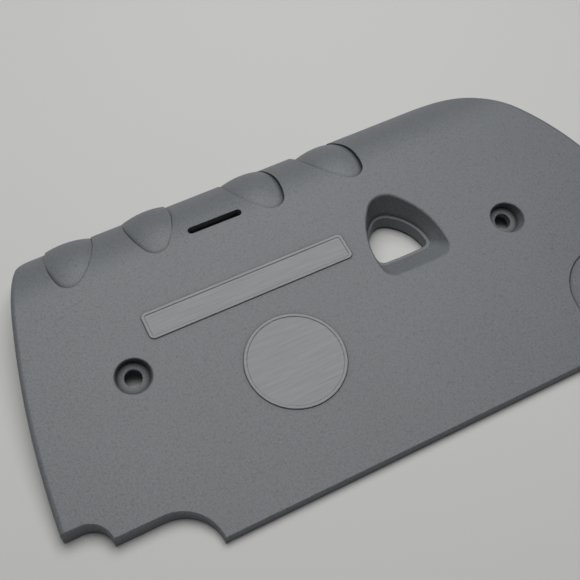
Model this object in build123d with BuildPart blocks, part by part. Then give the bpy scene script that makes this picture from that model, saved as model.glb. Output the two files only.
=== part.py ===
from build123d import *
import os
from math import atan2, copysign, cos, hypot, radians, sin, tan

os.makedirs("parts", exist_ok=True)

# Engine cover: one moulded plastic shell that bolts over the top of a four-cylinder engine.
# Millimetres and degrees. +X runs along the engine, +Y to the front edge and +Z up.
# The rim rests on z = 0, and the origin lies under the middle of the shell.
# A "panel" point is measured on the sloping top panel, across from the centre line of
# the four runners and back from the foremost point of the front edge.

# Shell
length = 590.0
depth = 324.0
wall = 2.6
rear_height = 8.0
panel_slope = 7.5
bend_radius = 85.0
bend_turn = 50.0
bend_overrun = 10.0
edge_radius = 4.5
rear_bevel = 1.4
centre_from_left = 223.0

# Plan outline
left_edge_inset = 45.0
left_edge_bow = 10.0
front_left_radius = 20.0
front_skew = 0.9
shoulder_inset = 94.5
shoulder_drop = 92.5
shoulder_share = 0.74
shoulder_gap = 0.01
rear_right_crop = 15.0
wide_notch_radius = 36.0
wide_notch_from_left = 75.0
small_notch_radius = 20.0
small_notch_from_left = 15.0

# Runner pockets in the front edge
pocket_tip_back = 70.8
pocket_half_width = 25.0
pocket_length = 55.0
pocket_tip_radius = 13.0
pocket_draft = 8.0
outer_pocket_x = 143.5
inner_pocket_x = 59.5
left_outer_turn = -15.0
left_inner_turn = -5.0
right_inner_turn = 12.0
right_outer_turn = 17.0
runner_radius = 70.0
runner_sink = 1.5
runner_lead = 12.0
runner_shift = 8.0
runner_bevel = 2.5

# Bolt wells
bolt_spacing = 370.0
bolt_middle_x = 60.5
bolt_back = 171.3
bolt_lean = 13.5
well_radius = 15.7
well_depth = 12.0
well_seat_radius = 13.8
well_floor = 3.0
bore_radius = 7.7
collar_wall = 3.0
collar_length = 5.0

# Oil filler funnel
funnel_x = 148.0
funnel_back = 181.3
funnel_half_width = 35.0
funnel_reach = 81.5
funnel_foot_x = 144.8
funnel_foot_back = 159.3
funnel_foot_half_width = 29.0
funnel_foot_reach = 52.0
funnel_ledge_height = 16.0
funnel_ledge = 3.0
funnel_clearance = 3.0
funnel_near_share = 0.94
funnel_near_bow = 0.03
funnel_peak_share = 1.08
funnel_waist_share = 0.9
funnel_waist_reach = 0.53
funnel_tip_round = 0.55
funnel_corner_round = 0.33

# Softened edges of the openings and pads
funnel_bevel = 1.0
well_bevel = 0.8
pad_bevel = 0.35

# Slot, raised pads, scoop and ribs
slot_x = -1.2
slot_back = 60.8
slot_length = 53.0
slot_width = 7.5
slot_collar = 6.0
pad_height = 1.0
pad_border = 3.0
pad_dish = 0.5
bar_x = -1.5
bar_back = 134.8
bar_length = 195.0
bar_width = 27.0
bar_corner = 5.0
disc_x = 3.0
disc_back = 216.8
disc_radius = 44.0
scoop_from_right = 70.5
scoop_from_rear = 49.0
scoop_radius = 44.0
scoop_sink = 1.2
scoop_dip = 2.4
scoop_draft = 40.0
rib_thickness = 1.6
rib_height = 3.0
rib_pitch = 116.0
rib_columns = 5
rib_row_pitch = 90.0
rib_rows = 2

# Limits for picking edges: a slack for level points, and the rise of an edge that counts as a corner
edge_margin = 0.01
corner_rise = 0.9

# Places worked out from the sizes above
left_x = -length / 2
right_x = length / 2
rear_y = -depth / 2
front_y = depth / 2
centre_x = left_x + centre_from_left
notch_y = rear_y + wide_notch_radius
left_rear_y = notch_y + small_notch_radius
slope = radians(panel_slope)
panel_rise = rear_height + depth * tan(slope)
panel_run = depth / cos(slope)
panel = Plane(origin=(centre_x, front_y, panel_rise), x_dir=(1, 0, 0), z_dir=(0, -sin(slope), cos(slope)))
bend_run = bend_radius * (sin(radians(bend_turn) - slope) + sin(slope))
rib_reach = (depth - bend_run) / cos(slope)
stock_height = 2 * panel_rise
well_reach = rear_height + depth * sin(slope) + 2 * edge_radius

# Foremost point of the front edge, from which the edge and its bend run back to the left end
shoulder_slant = hypot(shoulder_inset, shoulder_drop)
corner_run = (1 - shoulder_gap - shoulder_share) * shoulder_slant
front_x = right_x - shoulder_inset - corner_run * cos(radians(front_skew))
front = Plane(panel.location * Location((front_x - centre_x, 0, 0), (0, 0, front_skew)))
front_section = Plane(origin=front.origin, x_dir=front.y_dir, z_dir=front.x_dir)


def panel_place(x, back, turn=0.0, lean=0.0):
    """Plane on the panel at a panel point, turned about the panel's normal or leaned to the rear."""
    return Plane(panel.location * Location((x, -back, 0), (lean, 0, turn)))


def plan_outline(inset):
    """Face of the plan outline, drawn in by the inset all round."""
    skew = radians(front_skew)
    corner = (right_x - shoulder_inset, front_y + corner_run * sin(skew))
    front_left_x = left_x + left_edge_inset
    front_left = (front_left_x, corner[1] - (corner[0] - front_left_x) * tan(skew))
    rear_left = (left_x, left_rear_y)
    slant_turn = atan2(shoulder_inset, shoulder_drop)
    side_radius = shoulder_share * shoulder_slant / tan(slant_turn / 2)
    corner_radius = corner_run / tan((radians(90) - slant_turn + skew) / 2)
    with BuildSketch() as plan:
        with BuildLine():
            wide = CenterArc((left_x + wide_notch_from_left, rear_y), wide_notch_radius, 0, 90)
            crop_start = (right_x - rear_right_crop, rear_y)
            crop = Polyline(wide @ 0, crop_start, (right_x, rear_y + rear_right_crop))
            FilletPolyline(
                crop @ 1,
                (right_x, corner[1] - shoulder_drop),
                corner,
                front_left,
                radius=(side_radius, corner_radius),
            )
            SagittaArc(front_left, rear_left, -left_edge_bow)
            small = CenterArc((left_x + small_notch_from_left, notch_y), small_notch_radius, 0, 90)
            Line(rear_left, small @ 1)
            Line(small @ 0, wide @ 1)
        make_face()
        fillet(plan.vertices().sort_by_distance(front_left)[0], front_left_radius)
        if inset:
            offset(amount=-inset, mode=Mode.REPLACE)
    return plan.sketch


def top_profile(inset):
    """Face of all that lies above the panel and its front bend, drawn as seen from the right end."""
    bend_start = (-bend_run / cos(slope), -inset)
    with BuildSketch() as above:
        with BuildLine():
            bend = JernArc(bend_start, (1, 0), bend_radius - inset, -bend_turn - bend_overrun)
            flat = PolarLine(bend_start, depth, 180)
            Polyline(flat @ 1, ((flat @ 1).X, stock_height), (depth, stock_height), bend @ 1)
        make_face()
    return above.sketch


def pocket_outline(grow):
    """Face of one runner pocket seen from above: a round tip that widens to straight sides."""
    half = pocket_half_width
    tip = pocket_tip_radius
    run = pocket_length - tip
    side_radius = (run**2 + half**2 - tip**2) / (2 * (half - tip))
    reach = hypot(run, side_radius - half)
    join_x = (half - side_radius) + (side_radius + grow) * (side_radius - half) / reach
    join_y = pocket_length - (side_radius + grow) * run / reach
    wide = half + grow
    with BuildSketch() as pocket:
        with BuildLine():
            ThreePointArc((-join_x, join_y), (0, -grow), (join_x, join_y))
            TangentArc((wide, pocket_length), (join_x, join_y), tangent=(0, -1))
            TangentArc((-wide, pocket_length), (-join_x, join_y), tangent=(0, -1))
            end = 2 * pocket_length
            Polyline((wide, pocket_length), (wide, end), (-wide, end), (-wide, pocket_length))
        make_face()
    return pocket.sketch


def funnel_outline(half_width, reach, grow):
    """Face of the funnel's rounded pick shape, from its near edge to its tip."""
    near = funnel_near_share * half_width
    peak = funnel_peak_share * reach
    waist = (funnel_waist_share * half_width, funnel_waist_reach * reach)
    with BuildSketch() as pick:
        with BuildLine():
            ThreePointArc((-near, 0), (-waist[0], waist[1]), (0, peak))
            ThreePointArc((0, peak), waist, (near, 0))
            ThreePointArc((near, 0), (0, -funnel_near_bow * half_width), (-near, 0))
        make_face()
        fillet(pick.vertices().sort_by(Axis.Y)[-1], funnel_tip_round * half_width)
        fillet(pick.vertices().sort_by(Axis.Y)[:2], funnel_corner_round * half_width)
        if grow:
            offset(amount=grow, mode=Mode.REPLACE)
    return pick.sketch


def rim_edges(form):
    """Upper edges of the form's upright walls, apart from the upright corners."""
    walls = form.faces().filter_by(lambda face: abs(face.normal_at(face.center()).Z) < edge_margin)
    return walls.edges().filter_by(
        lambda edge: edge.center().Z > rear_height / 2 and abs(edge.tangent_at(0.5).Z) < corner_rise
    )


def panel_edges(form, x, back, half_width, half_reach, level=0.0):
    """Edges at one height over the panel, within a box about a panel point."""
    place = panel_place(x, back)

    def is_level(point):
        return abs(place.to_local_coords(point).Z - level) < edge_margin

    def is_near(point):
        local = place.to_local_coords(point)
        return abs(local.X) < half_width + wall and abs(local.Y) < half_reach + wall

    level_edges = form.edges().filter_by(lambda edge: all(is_level(edge @ share) for share in (0, 0.5, 1)))
    return level_edges.filter_by(lambda edge: is_near(edge @ 0.5))


def is_rear_edge(edge):
    """True for the low rear edge and its notches, false for the rolled edge of the other sides."""
    return edge.center().Y < left_rear_y + 2 * wall and edge.center().X < right_x - 2 * wall


# Outer block: the plan outline under the panel, with its edges rolled
with BuildPart() as block:
    with BuildSketch():
        add(plan_outline(0))
    extrude(amount=stock_height)
    with BuildSketch(front_section):
        add(top_profile(0))
    extrude(amount=length, both=True, mode=Mode.SUBTRACT)
    fillet(rim_edges(block).filter_by(lambda edge: not is_rear_edge(edge)), edge_radius)
    chamfer(rim_edges(block).filter_by(is_rear_edge), rear_bevel)

# Hollow under the panel, one wall inside the block
with BuildPart() as hollow:
    with BuildSketch(Plane.XY.offset(-wall)):
        add(plan_outline(wall))
    extrude(amount=stock_height)
    with BuildSketch(front_section):
        add(top_profile(wall))
    extrude(amount=length, both=True, mode=Mode.SUBTRACT)

# Runner pockets: the tip of each, turned so that its pocket opens at the front edge,
# and the centre of its runner's round crown, which lies under the bend and nearer the centre line
pocket_xs = (-outer_pocket_x, -inner_pocket_x, inner_pocket_x, outer_pocket_x)
pocket_turns = (left_outer_turn, left_inner_turn, right_inner_turn, right_outer_turn)
pocket_tips = [panel_place(x, pocket_tip_back, turn=turn) for x, turn in zip(pocket_xs, pocket_turns)]
runner_centres = [
    tip.location * Location((-copysign(runner_shift, x), runner_lead, -runner_sink - runner_radius))
    for tip, x in zip(pocket_tips, pocket_xs)
]
sideways = (0, 90, 0)

# Pocket wells, which narrow as they go down
with BuildPart() as pockets:
    for tip in pocket_tips:
        with BuildSketch(tip.offset(pad_height)):
            add(pocket_outline(0))
        extrude(amount=-well_reach, taper=pocket_draft)

with BuildPart() as pocket_walls:
    for tip in pocket_tips:
        with BuildSketch(tip.offset(pad_height)):
            add(pocket_outline(wall))
        extrude(amount=-well_reach, taper=pocket_draft)

# Runners that fill the wells up to a round top, kept above the rim
with BuildPart() as runners:
    with Locations(runner_centres):
        Sphere(runner_radius, rotation=sideways)
    add(pockets.part, mode=Mode.INTERSECT)
    with BuildSketch():
        add(plan_outline(0))
    extrude(amount=stock_height, mode=Mode.INTERSECT)
    chamfer(rim_edges(runners), runner_bevel)

with BuildPart() as runner_hollows:
    with Locations(runner_centres):
        Sphere(runner_radius - wall, rotation=sideways)
    add(pocket_walls.part, mode=Mode.INTERSECT)
    with BuildSketch(Plane.XY.offset(-wall)):
        add(plan_outline(wall))
    extrude(amount=stock_height, mode=Mode.INTERSECT)

# Scoop: its floor starts just under the panel at the round end and falls to the rear edge
scoop_x = right_x - scoop_from_right - centre_x
scoop_end_back = panel_run - scoop_from_rear - scoop_radius
scoop_floor = panel_place(scoop_x, scoop_end_back, lean=scoop_dip).offset(-scoop_sink)


def scoop_outline(grow):
    """Face of the scoop seen from above, from its round end to past the rear edge."""
    with BuildSketch() as scoop:
        with Locations((0, -scoop_radius)):
            Circle(scoop_radius + grow)
            Rectangle(2 * (scoop_radius + grow), 2 * scoop_from_rear, align=(Align.CENTER, Align.MAX))
    return scoop.sketch


# Outer skin, solid inside: the block with its pockets, runners and scoop
with BuildPart() as skin:
    add(block.part)
    add(pockets.part, mode=Mode.SUBTRACT)
    add(runners.part)
    with BuildSketch(scoop_floor):
        add(scoop_outline(0))
    extrude(amount=rear_height, taper=-scoop_draft, mode=Mode.SUBTRACT)

# Hollow of the whole shell, one wall inside the skin
with BuildPart() as void:
    add(hollow.part)
    add(pocket_walls.part, mode=Mode.SUBTRACT)
    add(runner_hollows.part)
    with BuildSketch(scoop_floor.offset(-wall)):
        add(scoop_outline(wall))
    extrude(amount=rear_height, taper=-scoop_draft, mode=Mode.SUBTRACT)

# Places of the bolt wells, the funnel and the slot
bolt_xs = (bolt_middle_x - bolt_spacing / 2, bolt_middle_x + bolt_spacing / 2)
bolt_tops = [panel_place(x, bolt_back, lean=bolt_lean) for x in bolt_xs]
funnel_top = panel_place(funnel_x, funnel_back)
funnel_foot = Plane(origin=(centre_x + funnel_foot_x, front_y - funnel_foot_back, funnel_ledge_height))
slot_top = panel_place(slot_x, slot_back)
bar_top = panel_place(bar_x, bar_back)
disc_top = panel_place(disc_x, disc_back)

# Under-side: ribs, well bosses, funnel wall with its neck, and slot collar, all kept inside the skin
with BuildPart() as under:
    hang = (Align.CENTER, Align.CENTER, Align.MAX)
    with Locations(panel.location * Location((-centre_x, rib_reach / 2 - panel_run, -wall / 2))):
        with GridLocations(rib_pitch, 1, rib_columns, 1):
            Box(rib_thickness, rib_reach, rib_height + wall / 2, align=hang)
        with GridLocations(1, rib_row_pitch, 1, rib_rows):
            Box(length, rib_thickness, rib_height + wall / 2, align=hang)
    for top in bolt_tops:
        with Locations(top.location):
            Cylinder(well_radius + wall, 2 * (well_depth + well_floor))
            Cylinder(bore_radius + collar_wall, 2 * (well_depth + well_floor + collar_length))
    with BuildSketch(funnel_top):
        add(funnel_outline(funnel_half_width, funnel_reach, wall))
    with BuildSketch(funnel_foot.offset(-wall)):
        add(funnel_outline(funnel_foot_half_width, funnel_foot_reach, wall))
    loft()
    with BuildSketch(funnel_foot.offset(-wall / 2)):
        add(funnel_outline(funnel_foot_half_width, funnel_foot_reach, wall - funnel_ledge))
    extrude(amount=funnel_clearance + wall / 2 - funnel_ledge_height)
    with BuildSketch(slot_top):
        SlotOverall(slot_length + 2 * wall, slot_width + 2 * wall)
    extrude(amount=-slot_collar - wall)
    add(skin.part, mode=Mode.INTERSECT)

# Funnel mouth, from the panel down to the ledge
with BuildPart() as mouth:
    with BuildSketch(funnel_top):
        add(funnel_outline(funnel_half_width, funnel_reach, 0))
    with BuildSketch(funnel_foot):
        add(funnel_outline(funnel_foot_half_width, funnel_foot_reach, 0))
    loft()

# The whole cover
with BuildPart() as engine_cover:
    add(skin.part)
    add(void.part, mode=Mode.SUBTRACT)
    add(under.part)
    with BuildSketch(bar_top.offset(-wall / 2)):
        RectangleRounded(bar_length, bar_width, bar_corner)
    extrude(amount=pad_height + wall / 2)
    with BuildSketch(disc_top.offset(-wall / 2)):
        Circle(disc_radius)
    extrude(amount=pad_height + wall / 2)
    bar_rim = panel_edges(engine_cover, bar_x, bar_back, bar_length / 2, bar_width / 2, pad_height)
    chamfer(bar_rim, pad_bevel)
    chamfer(panel_edges(engine_cover, disc_x, disc_back, disc_radius, disc_radius, pad_height), pad_bevel)
    with BuildSketch(bar_top.offset(pad_height)):
        RectangleRounded(bar_length - 2 * pad_border, bar_width - 2 * pad_border, bar_corner - pad_border)
    extrude(amount=-pad_dish, mode=Mode.SUBTRACT)
    with BuildSketch(disc_top.offset(pad_height)):
        Circle(disc_radius - pad_border)
    extrude(amount=-pad_dish, mode=Mode.SUBTRACT)
    add(mouth.part, mode=Mode.SUBTRACT)
    with BuildSketch(funnel_foot.offset(wall)):
        add(funnel_outline(funnel_foot_half_width, funnel_foot_reach, -funnel_ledge))
    extrude(amount=-wall - funnel_ledge_height, mode=Mode.SUBTRACT)
    for top in bolt_tops:
        with Locations(top.offset(-well_depth).location):
            Cone(
                well_seat_radius,
                2 * well_radius - well_seat_radius,
                2 * well_depth,
                align=(Align.CENTER, Align.CENTER, Align.MIN),
                mode=Mode.SUBTRACT,
            )
            Cylinder(bore_radius, well_reach, mode=Mode.SUBTRACT)
    with BuildSketch(slot_top.offset(wall)):
        SlotOverall(slot_length, slot_width)
    extrude(amount=-well_reach, mode=Mode.SUBTRACT)
    chamfer(panel_edges(engine_cover, funnel_x, funnel_back, funnel_half_width, funnel_reach), funnel_bevel)
    for x in bolt_xs:
        chamfer(panel_edges(engine_cover, x, bolt_back, well_radius, well_radius), well_bevel)

engine_cover.part.label = "engine_cover"
export_step(engine_cover.part, "parts/engine_cover.step")
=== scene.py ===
"""Dresses a moulded engine cover: grained plastic, polished raised pads, a pale floor and soft light."""

import math

import bpy
from bpy.props import FloatProperty, FloatVectorProperty, PointerProperty
from mathutils import Matrix, Vector


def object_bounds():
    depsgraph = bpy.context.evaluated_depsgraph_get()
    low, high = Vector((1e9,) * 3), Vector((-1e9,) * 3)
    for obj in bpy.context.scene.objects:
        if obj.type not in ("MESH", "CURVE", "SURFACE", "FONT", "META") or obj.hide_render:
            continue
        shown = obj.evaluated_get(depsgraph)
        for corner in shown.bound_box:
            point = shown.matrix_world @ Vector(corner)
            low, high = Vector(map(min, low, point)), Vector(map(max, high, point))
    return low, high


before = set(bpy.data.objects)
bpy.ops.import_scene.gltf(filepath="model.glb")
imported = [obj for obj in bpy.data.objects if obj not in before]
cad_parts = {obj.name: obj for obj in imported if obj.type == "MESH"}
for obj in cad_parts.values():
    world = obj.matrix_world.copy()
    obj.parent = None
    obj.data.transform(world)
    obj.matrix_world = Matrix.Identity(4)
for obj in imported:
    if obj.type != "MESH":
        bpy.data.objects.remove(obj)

bl_info = {
    "name": "Engine Cover Finish",
    "version": (1, 0, 0),
    "blender": (4, 5, 0),
    "location": "View3D > Sidebar > Engine Cover",
    "description": "Finishes a moulded engine cover and sets it on a studio floor",
    "category": "Object",
}

COVER_NODE = "engine_cover"
CAD_LOW, CAD_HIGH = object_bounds()

# Camera: the picture's width, the sensor, and the focal length in pixels
IMAGE_PIXELS = 580
SENSOR_MM = 36.0
FOCAL_PIXELS = 900.0
CLIP_NEAR = 0.01
CLIP_FAR = 50.0

# Grain: how much finer the noise is than the pebbles, and the noise's detail
NOISE_PER_PEBBLE = 1.7
GRAIN_DETAIL = 3.0

# Cloudiness of the plastic: clouds in a metre, detail, and the lowest and highest shade
CLOUD_SCALE = 9.0
CLOUD_DETAIL = 2.0
CLOUD_SHADES = (0.94, 1.06)

# Openness of a crease at which the painted crease shade is darkest
CREASE_OPENNESS = 0.55

# Heights between which the polish comes in, as shares of the pad step
POLISH_BAND = (0.6, 1.4)

# Floor: roughness, specular level, and the power with which the lamp's light falls off
FLOOR_ROUGHNESS = 0.85
FLOOR_SPECULAR = 0.2
FALL_POWER = 4.0


class CoverFinishSettings(bpy.types.PropertyGroup):
    """Colours and surface sizes of the cover's plastic."""

    plastic_color: FloatVectorProperty(
        name="Plastic Colour",
        description="Colour of the grained plastic",
        subtype="COLOR",
        size=3,
        min=0.0,
        max=1.0,
        default=(0.131, 0.14, 0.15),
    )
    plastic_roughness: FloatProperty(
        name="Plastic Roughness",
        description="Roughness of the grained plastic",
        subtype="FACTOR",
        min=0.0,
        max=1.0,
        default=0.5,
    )
    pad_color: FloatVectorProperty(
        name="Pad Colour",
        description="Colour of the polished raised pads",
        subtype="COLOR",
        size=3,
        min=0.0,
        max=1.0,
        default=(0.145, 0.153, 0.161),
    )
    pad_roughness: FloatProperty(
        name="Pad Roughness",
        description="Roughness of the polished raised pads",
        subtype="FACTOR",
        min=0.0,
        max=1.0,
        default=0.2,
    )
    streak_size: FloatVectorProperty(
        name="Streak Size",
        description="Length, width and depth of one streak of the polish",
        subtype="XYZ_LENGTH",
        size=3,
        min=0.0001,
        default=(0.03, 0.0016, 0.0016),
    )
    streak_contrast: FloatProperty(
        name="Streak Contrast",
        description="How far the streaks lighten and darken the polished pads",
        subtype="FACTOR",
        min=0.0,
        max=1.0,
        default=0.28,
    )
    grain_size: FloatProperty(
        name="Grain Size",
        description="Width of one pebble of the moulded grain",
        unit="LENGTH",
        min=0.0001,
        default=0.0014,
    )
    grain_depth: FloatProperty(
        name="Grain Depth",
        description="Height of the moulded grain",
        unit="LENGTH",
        min=0.0,
        default=0.00008,
    )
    grain_contrast: FloatProperty(
        name="Grain Contrast",
        description="How far the grain lightens and darkens the plastic",
        subtype="FACTOR",
        min=0.0,
        max=1.0,
        default=0.55,
    )
    edge_softness: FloatProperty(
        name="Edge Softness",
        description="Radius at which sharp edges catch the light",
        unit="LENGTH",
        min=0.0,
        default=0.0008,
    )
    # Painted shade: how far from a crease the colour is darkened
    painted_shade_reach: FloatProperty(
        name="Crease Reach",
        description="How far from a crease the plastic is dulled",
        unit="LENGTH",
        min=0.0,
        default=0.005,
    )
    # Painted shade: share of the colour that is left deep in a crease
    painted_shade_tone: FloatProperty(
        name="Crease Tone",
        description="Share of the colour that is left deep in a crease",
        subtype="FACTOR",
        min=0.0,
        max=1.0,
        default=0.18,
    )
    panel_slope: FloatProperty(
        name="Panel Slope",
        description="Rise of the top panel towards the front edge",
        subtype="ANGLE",
        default=math.radians(7.5),
    )
    panel_rear_height: FloatProperty(
        name="Panel Rear Height",
        description="Height of the top panel at the rear edge",
        unit="LENGTH",
        default=0.008,
    )
    pad_step: FloatProperty(
        name="Pad Step",
        description="Height over the panel at which the polish starts",
        unit="LENGTH",
        min=0.00001,
        default=0.00025,
    )


class StudioSettings(bpy.types.PropertyGroup):
    """Floor, light and camera of the studio."""

    floor_color: FloatVectorProperty(
        name="Floor Colour",
        description="Colour of the plain floor",
        subtype="COLOR",
        size=3,
        min=0.0,
        max=1.0,
        default=(0.58, 0.58, 0.57),
    )
    floor_width: FloatProperty(
        name="Floor Width",
        description="Width of the square floor",
        unit="LENGTH",
        default=8.0,
    )
    backdrop_strength: FloatProperty(
        name="Backdrop Strength",
        description="Brightness of the pale backdrop and of the far floor, seen by the camera alone",
        min=0.0,
        max=1.0,
        default=0.8,
    )
    pool_share: FloatProperty(
        name="Pool Share",
        description="Share of the lamp's full light below which the floor is brightened",
        subtype="FACTOR",
        min=0.0,
        max=1.0,
        default=0.85,
    )
    shadow_reach: FloatProperty(
        name="Shadow Reach",
        description="Where the far floor has its full brightness, as a multiple of the cover's half diagonal",
        min=1.01,
        default=2.2,
    )
    camera_place: FloatVectorProperty(
        name="Camera Place",
        description="Where the camera stands",
        subtype="TRANSLATION",
        size=3,
        default=(-0.2374, -0.4071, 0.6703),
    )
    camera_right: FloatVectorProperty(
        name="Camera Right",
        description="Direction to the picture's right",
        subtype="DIRECTION",
        size=3,
        default=(0.89394, -0.44774, -0.01982),
    )
    camera_up: FloatVectorProperty(
        name="Camera Up",
        description="Direction to the picture's top",
        subtype="DIRECTION",
        size=3,
        default=(0.37428, 0.72148, 0.58256),
    )
    world_strength: FloatProperty(
        name="World Strength",
        description="Strength of the even light from all round",
        min=0.0,
        default=0.12,
    )
    horizon_share: FloatProperty(
        name="Horizon Share",
        description="Share of the even light that is left at the horizon",
        subtype="FACTOR",
        min=0.0,
        max=1.0,
        default=0.1,
    )
    key_power: FloatProperty(
        name="Key Power",
        description="Power of the large lamp overhead",
        unit="POWER",
        min=0.0,
        default=31.0,
    )
    key_width: FloatProperty(
        name="Key Width",
        description="Width of the large lamp overhead",
        unit="LENGTH",
        default=1.9,
    )
    key_place: FloatVectorProperty(
        name="Key Place",
        description="Where the large lamp hangs",
        subtype="TRANSLATION",
        size=3,
        default=(0.165, 0.45, 1.65),
    )


def feed(tree, socket, value):
    """Gives an input socket its value: a node's output is linked, and a plain number or colour is set."""
    if isinstance(value, bpy.types.NodeSocket):
        tree.links.new(value, socket)
    else:
        socket.default_value = value


def math_node(tree, operation, first, second=0.0):
    """A Math node whose values are sockets or plain numbers. Returns its output."""
    node = tree.nodes.new("ShaderNodeMath")
    node.operation = operation
    feed(tree, node.inputs[0], first)
    feed(tree, node.inputs[1], second)
    return node.outputs[0]


def map_range(tree, value, source, target=(0.0, 1.0), smooth=False):
    """A Map Range node that takes one pair of numbers to another. Returns its output."""
    node = tree.nodes.new("ShaderNodeMapRange")
    if smooth:
        node.interpolation_type = "SMOOTHSTEP"
    feed(tree, node.inputs["Value"], value)
    node.inputs["From Min"].default_value, node.inputs["From Max"].default_value = source
    node.inputs["To Min"].default_value, node.inputs["To Max"].default_value = target
    return node.outputs["Result"]


def object_place(tree):
    """The point's place in the piece's own coordinates."""
    return tree.nodes.new("ShaderNodeTexCoord").outputs["Object"]


def noise(tree, place, scale, detail):
    """A noise of the given scale at a place. Returns its value."""
    node = tree.nodes.new("ShaderNodeTexNoise")
    feed(tree, node.inputs["Vector"], place)
    feed(tree, node.inputs["Scale"], scale)
    node.inputs["Detail"].default_value = detail
    return node.outputs["Fac"]


def scaled_color(tree, color, shade):
    """A colour times a shade that changes over the surface. Returns the colour."""
    node = tree.nodes.new("ShaderNodeVectorMath")
    node.operation = "SCALE"
    node.inputs[0].default_value = color
    feed(tree, node.inputs["Scale"], shade)
    return node.outputs["Vector"]


def new_group(name, inputs, outputs):
    """A shader node group with number sockets. Returns it, with its inner input and output sockets."""
    group = bpy.data.node_groups.new(name, "ShaderNodeTree")
    for title in inputs:
        group.interface.new_socket(title, in_out="INPUT", socket_type="NodeSocketFloat")
    for title in outputs:
        group.interface.new_socket(title, in_out="OUTPUT", socket_type="NodeSocketFloat")
    inside = group.nodes.new("NodeGroupInput").outputs
    outside = group.nodes.new("NodeGroupOutput").inputs
    return group, inside, outside


def use_group(tree, group, values):
    """Places a node group in a material with its own values. Returns its outputs."""
    node = tree.nodes.new("ShaderNodeGroup")
    node.node_tree = group
    for title, value in values.items():
        node.inputs[title].default_value = value
    return node.outputs


def grain_group():
    """Node group for moulded grain: pebbles of Voronoi cells and fine noise.

    Pattern = (0.5 - smooth cell distance) + (noise - 0.5), Height = pattern * depth,
    and Shade = 1 + pattern * contrast.
    """
    group, inside, outside = new_group("moulded_grain", ("Size", "Depth", "Contrast"), ("Height", "Shade"))
    place = object_place(group)
    pebble_scale = math_node(group, "DIVIDE", 1.0, inside["Size"])
    cells = group.nodes.new("ShaderNodeTexVoronoi")
    cells.feature = "SMOOTH_F1"
    feed(group, cells.inputs["Vector"], place)
    feed(group, cells.inputs["Scale"], pebble_scale)
    fine = noise(group, place, math_node(group, "MULTIPLY", pebble_scale, NOISE_PER_PEBBLE), GRAIN_DETAIL)
    pebbles = math_node(group, "SUBTRACT", 0.5, cells.outputs["Distance"])
    pattern = math_node(group, "ADD", pebbles, math_node(group, "SUBTRACT", fine, 0.5))
    contrast = math_node(group, "MULTIPLY", pattern, inside["Contrast"])
    feed(group, outside["Height"], math_node(group, "MULTIPLY", pattern, inside["Depth"]))
    feed(group, outside["Shade"], math_node(group, "ADD", contrast, 1.0))
    return group


def raised_group():
    """Node group that finds raised pads: Mask goes from 0 to 1 as the height over the panel passes Step.

    Height over the panel = rise * cos(slope) - run * sin(slope), from the panel's rear edge.
    """
    inputs = ("Slope", "Rear Height", "Rear Edge", "Step")
    group, inside, outside = new_group("raised_over_panel", inputs, ("Mask",))
    axes = group.nodes.new("ShaderNodeSeparateXYZ")
    feed(group, axes.inputs[0], object_place(group))
    run = math_node(group, "SUBTRACT", axes.outputs["Y"], inside["Rear Edge"])
    rise = math_node(group, "SUBTRACT", axes.outputs["Z"], inside["Rear Height"])
    along = math_node(group, "MULTIPLY", run, math_node(group, "SINE", inside["Slope"]))
    across = math_node(group, "MULTIPLY", rise, math_node(group, "COSINE", inside["Slope"]))
    height = math_node(group, "SUBTRACT", across, along)
    steps = math_node(group, "DIVIDE", height, inside["Step"])
    feed(group, outside["Mask"], map_range(group, steps, POLISH_BAND, smooth=True))
    return group


def crease_painted_shade(tree, settings):
    """Painted shade: the colour falls to the crease tone where the surface close by closes a point in."""
    crease = tree.nodes.new("ShaderNodeAmbientOcclusion")
    crease.only_local = True
    crease.inputs["Distance"].default_value = settings.painted_shade_reach
    return map_range(tree, crease.outputs["AO"], (CREASE_OPENNESS, 1.0), (settings.painted_shade_tone, 1.0))


def streak_shade(tree, place, settings):
    """Shade of the polish: a noise stretched along the cover."""
    stretch = tree.nodes.new("ShaderNodeMapping")
    stretch.inputs["Scale"].default_value = [1.0 / size for size in settings.streak_size]
    feed(tree, stretch.inputs["Vector"], place)
    streaks = noise(tree, stretch.outputs["Vector"], 1.0, CLOUD_DETAIL)
    shades = (1.0 - settings.streak_contrast, 1.0 + settings.streak_contrast)
    return map_range(tree, streaks, (0.0, 1.0), shades)


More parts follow.
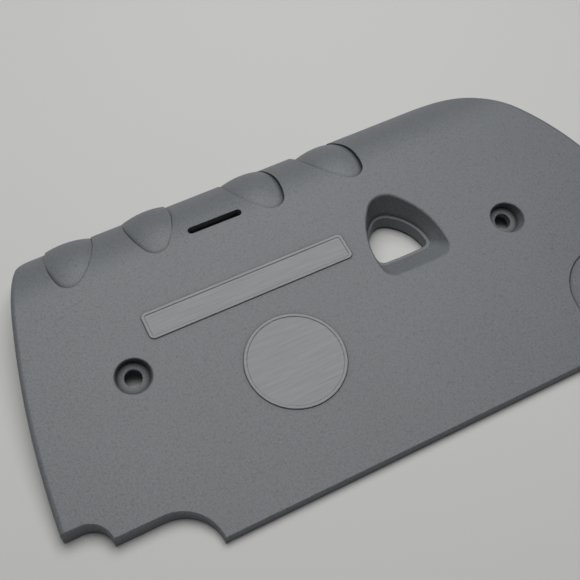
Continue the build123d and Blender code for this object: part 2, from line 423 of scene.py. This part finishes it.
def cover_plastic(settings):
    """Material of the cover: grained grey plastic with painted shade in its creases, polished where it stands
    over the panel.
    """
    material = bpy.data.materials.new("cover_plastic_finish")
    material.use_nodes = True
    tree = material.node_tree
    shader = tree.nodes["Principled BSDF"]
    place = object_place(tree)
    grain = use_group(tree, grain_group(), {
        "Size": settings.grain_size,
        "Depth": settings.grain_depth,
        "Contrast": settings.grain_contrast,
    })
    raised = use_group(tree, raised_group(), {
        "Slope": settings.panel_slope,
        "Rear Height": settings.panel_rear_height,
        "Rear Edge": CAD_LOW.y,
        "Step": settings.pad_step,
    })["Mask"]
    clouds = map_range(tree, noise(tree, place, CLOUD_SCALE, CLOUD_DETAIL), (0.0, 1.0), CLOUD_SHADES)
    mottle = math_node(tree, "MULTIPLY", grain["Shade"], clouds)
    # The mottle is the plastic's own grain and clouds; the crease factor is painted shade
    shade = math_node(tree, "MULTIPLY", mottle, crease_painted_shade(tree, settings))
    color = tree.nodes.new("ShaderNodeMix")
    color.data_type = "RGBA"
    feed(tree, color.inputs["Factor"], raised)
    feed(tree, color.inputs["A"], scaled_color(tree, settings.plastic_color, shade))
    feed(tree, color.inputs["B"], scaled_color(tree, settings.pad_color, streak_shade(tree, place, settings)))
    roughness = map_range(tree, raised, (0.0, 1.0), (settings.plastic_roughness, settings.pad_roughness))
    soft = tree.nodes.new("ShaderNodeBevel")
    soft.inputs["Radius"].default_value = settings.edge_softness
    bump = tree.nodes.new("ShaderNodeBump")
    bump.inputs["Distance"].default_value = 1.0
    bump.inputs["Strength"].default_value = 1.0
    unpolished = math_node(tree, "SUBTRACT", 1.0, raised)
    feed(tree, bump.inputs["Height"], math_node(tree, "MULTIPLY", grain["Height"], unpolished))
    feed(tree, bump.inputs["Normal"], soft.outputs["Normal"])
    feed(tree, shader.inputs["Base Color"], color.outputs["Result"])
    feed(tree, shader.inputs["Roughness"], roughness)
    feed(tree, shader.inputs["Normal"], bump.outputs["Normal"])
    return material


def far_floor_glow(tree, settings):
    """Strength of the far floor's own light, which the camera alone sees.

    The lamp's light on the floor goes as (height / distance) to the fourth power. The glow makes up for
    what is lost, and is nought near the cover, so that the cover's shadow stays.
    """
    place = object_place(tree)
    reach = tree.nodes.new("ShaderNodeVectorMath")
    reach.operation = "DISTANCE"
    feed(tree, reach.inputs[0], place)
    reach.inputs[1].default_value = settings.key_place
    slant = math_node(tree, "DIVIDE", settings.key_place[2], reach.outputs["Value"])
    light = math_node(tree, "POWER", slant, FALL_POWER)
    fill = map_range(tree, light, (0.0, settings.pool_share), (settings.backdrop_strength, 0.0))
    middle = tree.nodes.new("ShaderNodeVectorMath")
    middle.operation = "LENGTH"
    feed(tree, middle.inputs[0], place)
    half_diagonal = CAD_HIGH.xy.length
    shadow = (half_diagonal, half_diagonal * settings.shadow_reach)
    apart = map_range(tree, middle.outputs["Value"], shadow, smooth=True)
    seen = tree.nodes.new("ShaderNodeLightPath").outputs["Is Camera Ray"]
    return math_node(tree, "MULTIPLY", math_node(tree, "MULTIPLY", fill, apart), seen)


def floor_material(settings):
    """Material of the plain floor: pale and matt, and kept pale for the camera far from the lamp."""
    material = bpy.data.materials.new("studio_floor")
    material.use_nodes = True
    tree = material.node_tree
    shader = tree.nodes["Principled BSDF"]
    shader.inputs["Base Color"].default_value = (*settings.floor_color, 1.0)
    shader.inputs["Roughness"].default_value = FLOOR_ROUGHNESS
    shader.inputs["Specular IOR Level"].default_value = FLOOR_SPECULAR
    shader.inputs["Emission Color"].default_value = (*settings.floor_color, 1.0)
    feed(tree, shader.inputs["Emission Strength"], far_floor_glow(tree, settings))
    return material


class ENGINECOVER_OT_finish_cover(bpy.types.Operator):
    """Give the moulded cover its grained plastic"""

    bl_idname = "engine_cover.finish_cover"
    bl_label = "Finish Cover"

    def execute(self, context):
        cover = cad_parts[COVER_NODE]
        cover.data.materials.clear()
        cover.data.materials.append(cover_plastic(context.scene.cover_finish))
        return {"FINISHED"}


class ENGINECOVER_OT_build_stage(bpy.types.Operator):
    """Set the cover on a pale floor under soft light, with the camera"""

    bl_idname = "engine_cover.build_stage"
    bl_label = "Build Stage"

    def execute(self, context):
        settings = context.scene.studio
        self.add_floor(context, settings)
        self.add_world(context, settings)
        self.add_lamp(context, settings)
        self.add_camera(context, settings)
        context.scene.view_settings.view_transform = "Standard"
        return {"FINISHED"}

    def add_floor(self, context, settings):
        """A square floor at the height of the cover's rim."""
        half = settings.floor_width / 2
        mesh = bpy.data.meshes.new("floor")
        corners = [(-half, -half, 0.0), (half, -half, 0.0), (half, half, 0.0), (-half, half, 0.0)]
        mesh.from_pydata(corners, [], [(0, 1, 2, 3)])
        mesh.materials.append(floor_material(settings))
        floor = bpy.data.objects.new("floor", mesh)
        context.scene.collection.objects.link(floor)

    def add_world(self, context, settings):
        """A weak even light that fades to the horizon, and a pale backdrop that the camera alone sees."""
        world = bpy.data.worlds.new("studio")
        world.use_nodes = True
        tree = world.node_tree
        axes = tree.nodes.new("ShaderNodeSeparateXYZ")
        feed(tree, axes.inputs[0], tree.nodes.new("ShaderNodeTexCoord").outputs["Generated"])
        sky = tree.nodes["Background"]
        sky.inputs["Strength"].default_value = settings.world_strength
        fade = map_range(tree, axes.outputs["Z"], (0.0, 1.0), (settings.horizon_share, 1.0))
        feed(tree, sky.inputs["Color"], fade)
        backdrop = tree.nodes.new("ShaderNodeBackground")
        backdrop.inputs["Color"].default_value = (*settings.floor_color, 1.0)
        backdrop.inputs["Strength"].default_value = settings.backdrop_strength
        choice = tree.nodes.new("ShaderNodeMixShader")
        feed(tree, choice.inputs[0], tree.nodes.new("ShaderNodeLightPath").outputs["Is Camera Ray"])
        feed(tree, choice.inputs[1], sky.outputs[0])
        feed(tree, choice.inputs[2], backdrop.outputs[0])
        feed(tree, tree.nodes["World Output"].inputs["Surface"], choice.outputs[0])
        context.scene.world = world

    def add_lamp(self, context, settings):
        """One large round lamp overhead, turned to the cover."""
        data = bpy.data.lights.new("key", "AREA")
        data.shape = "DISK"
        data.size = settings.key_width
        data.energy = settings.key_power
        lamp = bpy.data.objects.new("key", data)
        lamp.location = settings.key_place
        lamp.rotation_euler = (-Vector(settings.key_place)).to_track_quat("-Z", "Y").to_euler()
        context.scene.collection.objects.link(lamp)

    def add_camera(self, context, settings):
        """The camera, from its place and the directions to the picture's right and top."""
        data = bpy.data.cameras.new("camera")
        data.sensor_width = SENSOR_MM
        data.lens = SENSOR_MM * FOCAL_PIXELS / IMAGE_PIXELS
        data.clip_start = CLIP_NEAR
        data.clip_end = CLIP_FAR
        camera = bpy.data.objects.new("camera", data)
        right = Vector(settings.camera_right).normalized()
        up = Vector(settings.camera_up).normalized()
        turn = Matrix((right, up, right.cross(up))).transposed().to_4x4()
        camera.matrix_world = Matrix.Translation(settings.camera_place) @ turn
        context.scene.collection.objects.link(camera)
        context.scene.camera = camera


class ENGINECOVER_PT_sidebar(bpy.types.Panel):
    """Lists the steps and settings"""

    bl_label = "Engine Cover"
    bl_idname = "ENGINECOVER_PT_sidebar"
    bl_space_type = "VIEW_3D"
    bl_region_type = "UI"
    bl_category = "Engine Cover"

    def draw(self, context):
        layout = self.layout
        for settings in (context.scene.cover_finish, context.scene.studio):
            box = layout.box()
            for name in settings.__annotations__:
                box.prop(settings, name)
        layout.operator(ENGINECOVER_OT_finish_cover.bl_idname)
        layout.operator(ENGINECOVER_OT_build_stage.bl_idname)


CLASSES = (
    CoverFinishSettings,
    StudioSettings,
    ENGINECOVER_OT_finish_cover,
    ENGINECOVER_OT_build_stage,
    ENGINECOVER_PT_sidebar,
)


def register():
    """Registers the classes and hangs the settings on the scene."""
    for cls in CLASSES:
        bpy.utils.register_class(cls)
    bpy.types.Scene.cover_finish = PointerProperty(type=CoverFinishSettings)
    bpy.types.Scene.studio = PointerProperty(type=StudioSettings)


def unregister():
    """Takes the settings and classes away again."""
    del bpy.types.Scene.studio
    del bpy.types.Scene.cover_finish
    for cls in reversed(CLASSES):
        bpy.utils.unregister_class(cls)


def main():
    """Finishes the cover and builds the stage."""
    register()
    bpy.ops.engine_cover.finish_cover()
    bpy.ops.engine_cover.build_stage()


if __name__ == "__main__":
    main()
